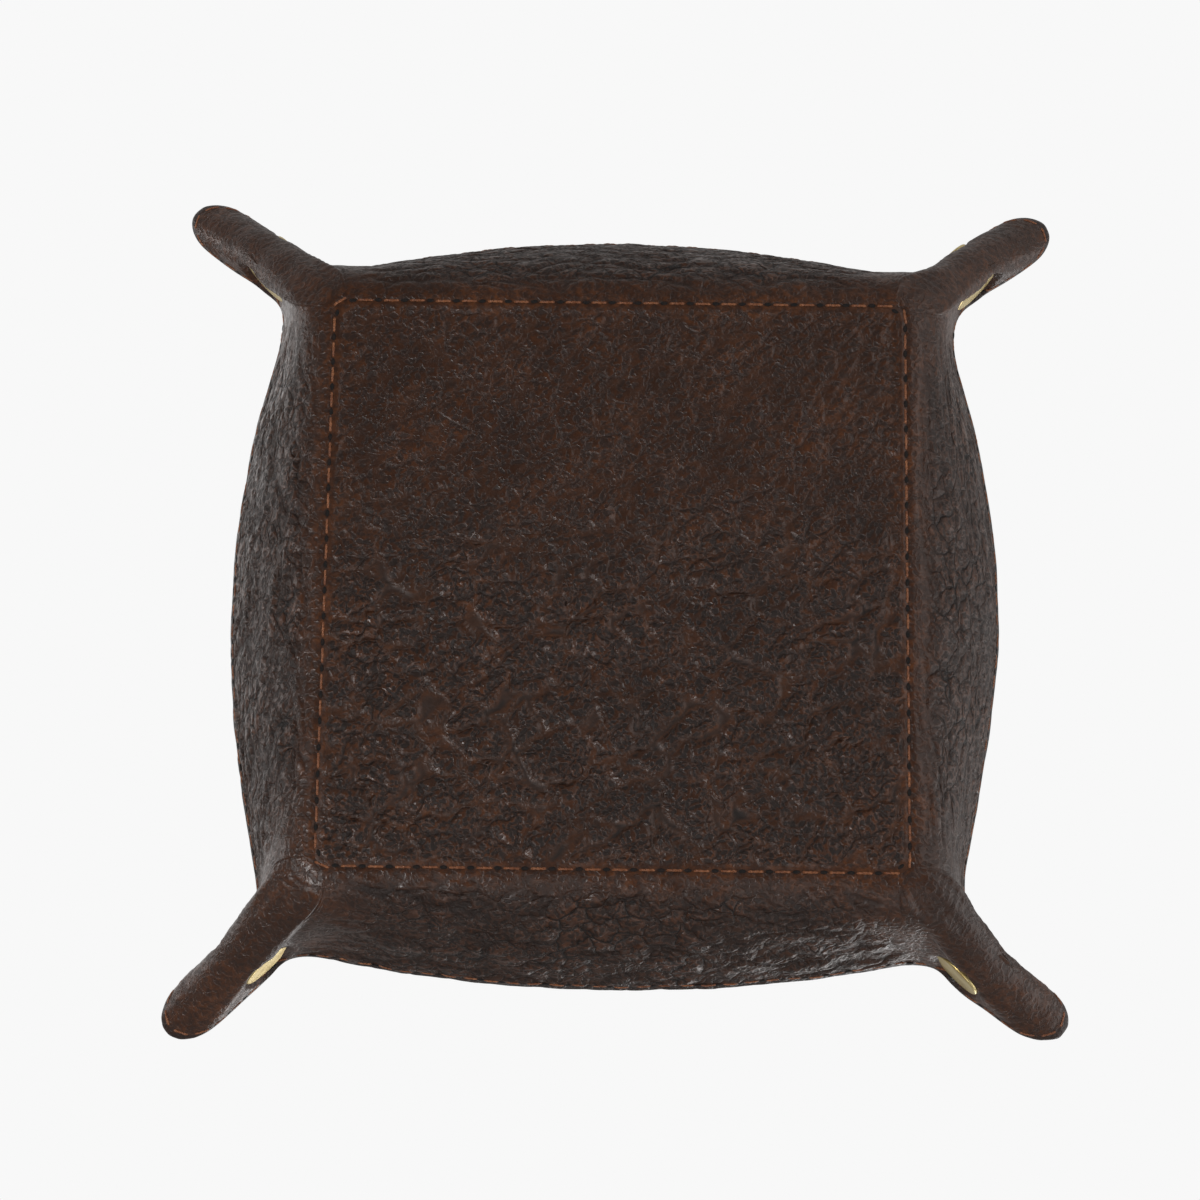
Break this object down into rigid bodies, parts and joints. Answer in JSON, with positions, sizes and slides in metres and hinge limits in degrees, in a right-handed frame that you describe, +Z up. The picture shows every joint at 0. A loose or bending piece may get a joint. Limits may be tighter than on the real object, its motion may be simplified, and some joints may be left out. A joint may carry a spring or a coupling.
{
  "type": "valet tray",
  "caption": "Square lined leather tray with a stiffened, stitched base, flared walls and pinched corners held by press studs; unsnapped, it opens out low.",
  "frame": {"origin": "middle of the underside of the base, where the tray rests", "axes": "+Z up, out of the open tray; X and Y along the sides of the square base; -Y is the front side, nearest the camera in the picture"},
  "size_m": [0.2042, 0.2042, 0.0347],
  "materials": {
    "leather": "dark brown pebbled and pulled-up hide, half gloss",
    "lining": "smooth brown lining leather",
    "board": "pressed fibre board, hidden",
    "brass": "polished",
    "thread": "waxed twisted thread"
  },
  "bodies": {
    "base": {"base_leather": "leather", "base_board": "board", "base_lining": "lining", "base_stitching": "thread"},
    "right_wall": {"right_wall_leather": "leather", "right_wall_lining": "lining"},
    "back_wall": {"back_wall_leather": "leather", "back_wall_lining": "lining"},
    "left_wall": {"left_wall_leather": "leather", "left_wall_lining": "lining"},
    "front_wall": {"front_wall_leather": "leather", "front_wall_lining": "lining"},
    "back_right_ridge": {"back_right_ridge_leather": "leather", "back_right_ridge_lining": "lining"},
    "back_right_flap_by_right": {"back_right_flap_by_right_leather": "leather", "back_right_flap_by_right_lining": "lining", "back_right_cap": "brass", "back_right_socket": "brass"},
    "back_right_flap_by_back": {"back_right_flap_by_back_leather": "leather", "back_right_flap_by_back_lining": "lining", "back_right_back_cap": "brass", "back_right_stud": "brass"},
    "back_left_ridge": {"back_left_ridge_leather": "leather", "back_left_ridge_lining": "lining"},
    "back_left_flap_by_back": {"back_left_flap_by_back_leather": "leather", "back_left_flap_by_back_lining": "lining", "back_left_cap": "brass", "back_left_socket": "brass"},
    "back_left_flap_by_left": {"back_left_flap_by_left_leather": "leather", "back_left_flap_by_left_lining": "lining", "back_left_back_cap": "brass", "back_left_stud": "brass"},
    "front_left_ridge": {"front_left_ridge_leather": "leather", "front_left_ridge_lining": "lining"},
    "front_left_flap_by_left": {"front_left_flap_by_left_leather": "leather", "front_left_flap_by_left_lining": "lining", "front_left_cap": "brass", "front_left_socket": "brass"},
    "front_left_flap_by_front": {"front_left_flap_by_front_leather": "leather", "front_left_flap_by_front_lining": "lining", "front_left_back_cap": "brass", "front_left_stud": "brass"},
    "front_right_ridge": {"front_right_ridge_leather": "leather", "front_right_ridge_lining": "lining"},
    "front_right_flap_by_front": {"front_right_flap_by_front_leather": "leather", "front_right_flap_by_front_lining": "lining", "front_right_cap": "brass", "front_right_socket": "brass"},
    "front_right_flap_by_right": {"front_right_flap_by_right_leather": "leather", "front_right_flap_by_right_lining": "lining", "front_right_back_cap": "brass", "front_right_stud": "brass"}
  },
  "joints": [
    {"name": "right_wall_fold", "type": "hinge", "parent": "base", "child": "right_wall", "pos_m": [0.068, 0, 0], "axis": [0, 1, 0], "range_deg": [0, 48]},
    {"name": "back_wall_fold", "type": "hinge", "parent": "base", "child": "back_wall", "pos_m": [0, 0.068, 0], "axis": [-1, 0, 0], "range_deg": [0, 48]},
    {"name": "left_wall_fold", "type": "hinge", "parent": "base", "child": "left_wall", "pos_m": [-0.068, 0, 0], "axis": [0, -1, 0], "range_deg": [0, 48]},
    {"name": "front_wall_fold", "type": "hinge", "parent": "base", "child": "front_wall", "pos_m": [0, -0.068, 0], "axis": [1, 0, 0], "range_deg": [0, 48]},
    {"name": "back_right_ridge_fold", "type": "hinge", "parent": "base", "child": "back_right_ridge", "pos_m": [0.06496, 0.06496, 0], "axis": [-0.7071, 0.7071, 0], "range_deg": [0, 29.7]},
    {"name": "back_right_flap_by_right_fold", "type": "hinge", "parent": "back_right_ridge", "child": "back_right_flap_by_right", "pos_m": [0.068, 0.06192, 0], "axis": [0.5969, 0.5969, 0.5361], "range_deg": [0, 53.66]},
    {"name": "back_right_flap_by_back_fold", "type": "hinge", "parent": "back_right_ridge", "child": "back_right_flap_by_back", "pos_m": [0.06192, 0.068, 0], "axis": [-0.5969, -0.5969, -0.5361], "range_deg": [0, 53.66]},
    {"name": "back_left_ridge_fold", "type": "hinge", "parent": "base", "child": "back_left_ridge", "pos_m": [-0.06496, 0.06496, 0], "axis": [-0.7071, -0.7071, 0], "range_deg": [0, 29.7]},
    {"name": "back_left_flap_by_back_fold", "type": "hinge", "parent": "back_left_ridge", "child": "back_left_flap_by_back", "pos_m": [-0.06192, 0.068, 0], "axis": [-0.5969, 0.5969, 0.5361], "range_deg": [0, 53.66]},
    {"name": "back_left_flap_by_left_fold", "type": "hinge", "parent": "back_left_ridge", "child": "back_left_flap_by_left", "pos_m": [-0.068, 0.06192, 0], "axis": [0.5969, -0.5969, -0.5361], "range_deg": [0, 53.66]},
    {"name": "front_left_ridge_fold", "type": "hinge", "parent": "base", "child": "front_left_ridge", "pos_m": [-0.06496, -0.06496, 0], "axis": [0.7071, -0.7071, 0], "range_deg": [0, 29.7]},
    {"name": "front_left_flap_by_left_fold", "type": "hinge", "parent": "front_left_ridge", "child": "front_left_flap_by_left", "pos_m": [-0.068, -0.06192, 0], "axis": [-0.5969, -0.5969, 0.5361], "range_deg": [0, 53.66]},
    {"name": "front_left_flap_by_front_fold", "type": "hinge", "parent": "front_left_ridge", "child": "front_left_flap_by_front", "pos_m": [-0.06192, -0.068, 0], "axis": [0.5969, 0.5969, -0.5361], "range_deg": [0, 53.66]},
    {"name": "front_right_ridge_fold", "type": "hinge", "parent": "base", "child": "front_right_ridge", "pos_m": [0.06496, -0.06496, 0], "axis": [0.7071, 0.7071, 0], "range_deg": [0, 29.7]},
    {"name": "front_right_flap_by_front_fold", "type": "hinge", "parent": "front_right_ridge", "child": "front_right_flap_by_front", "pos_m": [0.06192, -0.068, 0], "axis": [0.5969, -0.5969, 0.5361], "range_deg": [0, 53.66]},
    {"name": "front_right_flap_by_right_fold", "type": "hinge", "parent": "front_right_ridge", "child": "front_right_flap_by_right", "pos_m": [0.068, -0.06192, 0], "axis": [-0.5969, 0.5969, -0.5361], "range_deg": [0, 53.66]}
  ],
  "couplings": [
    {"joint": "right_wall_fold", "follows": "front_wall_fold", "ratio": 1},
    {"joint": "back_wall_fold", "follows": "front_wall_fold", "ratio": 1},
    {"joint": "left_wall_fold", "follows": "front_wall_fold", "ratio": 1},
    {"joint": "back_right_ridge_fold", "follows": "front_wall_fold", "ratio": 0.6186},
    {"joint": "back_right_flap_by_right_fold", "follows": "front_wall_fold", "ratio": 1.1178},
    {"joint": "back_right_flap_by_back_fold", "follows": "front_wall_fold", "ratio": 1.1178},
    {"joint": "back_left_ridge_fold", "follows": "front_wall_fold", "ratio": 0.6186},
    {"joint": "back_left_flap_by_back_fold", "follows": "front_wall_fold", "ratio": 1.1178},
    {"joint": "back_left_flap_by_left_fold", "follows": "front_wall_fold", "ratio": 1.1178},
    {"joint": "front_left_ridge_fold", "follows": "front_wall_fold", "ratio": 0.6186},
    {"joint": "front_left_flap_by_left_fold", "follows": "front_wall_fold", "ratio": 1.1178},
    {"joint": "front_left_flap_by_front_fold", "follows": "front_wall_fold", "ratio": 1.1178},
    {"joint": "front_right_ridge_fold", "follows": "front_wall_fold", "ratio": 0.6186},
    {"joint": "front_right_flap_by_front_fold", "follows": "front_wall_fold", "ratio": 1.1178},
    {"joint": "front_right_flap_by_right_fold", "follows": "front_wall_fold", "ratio": 1.1178}
  ]
}
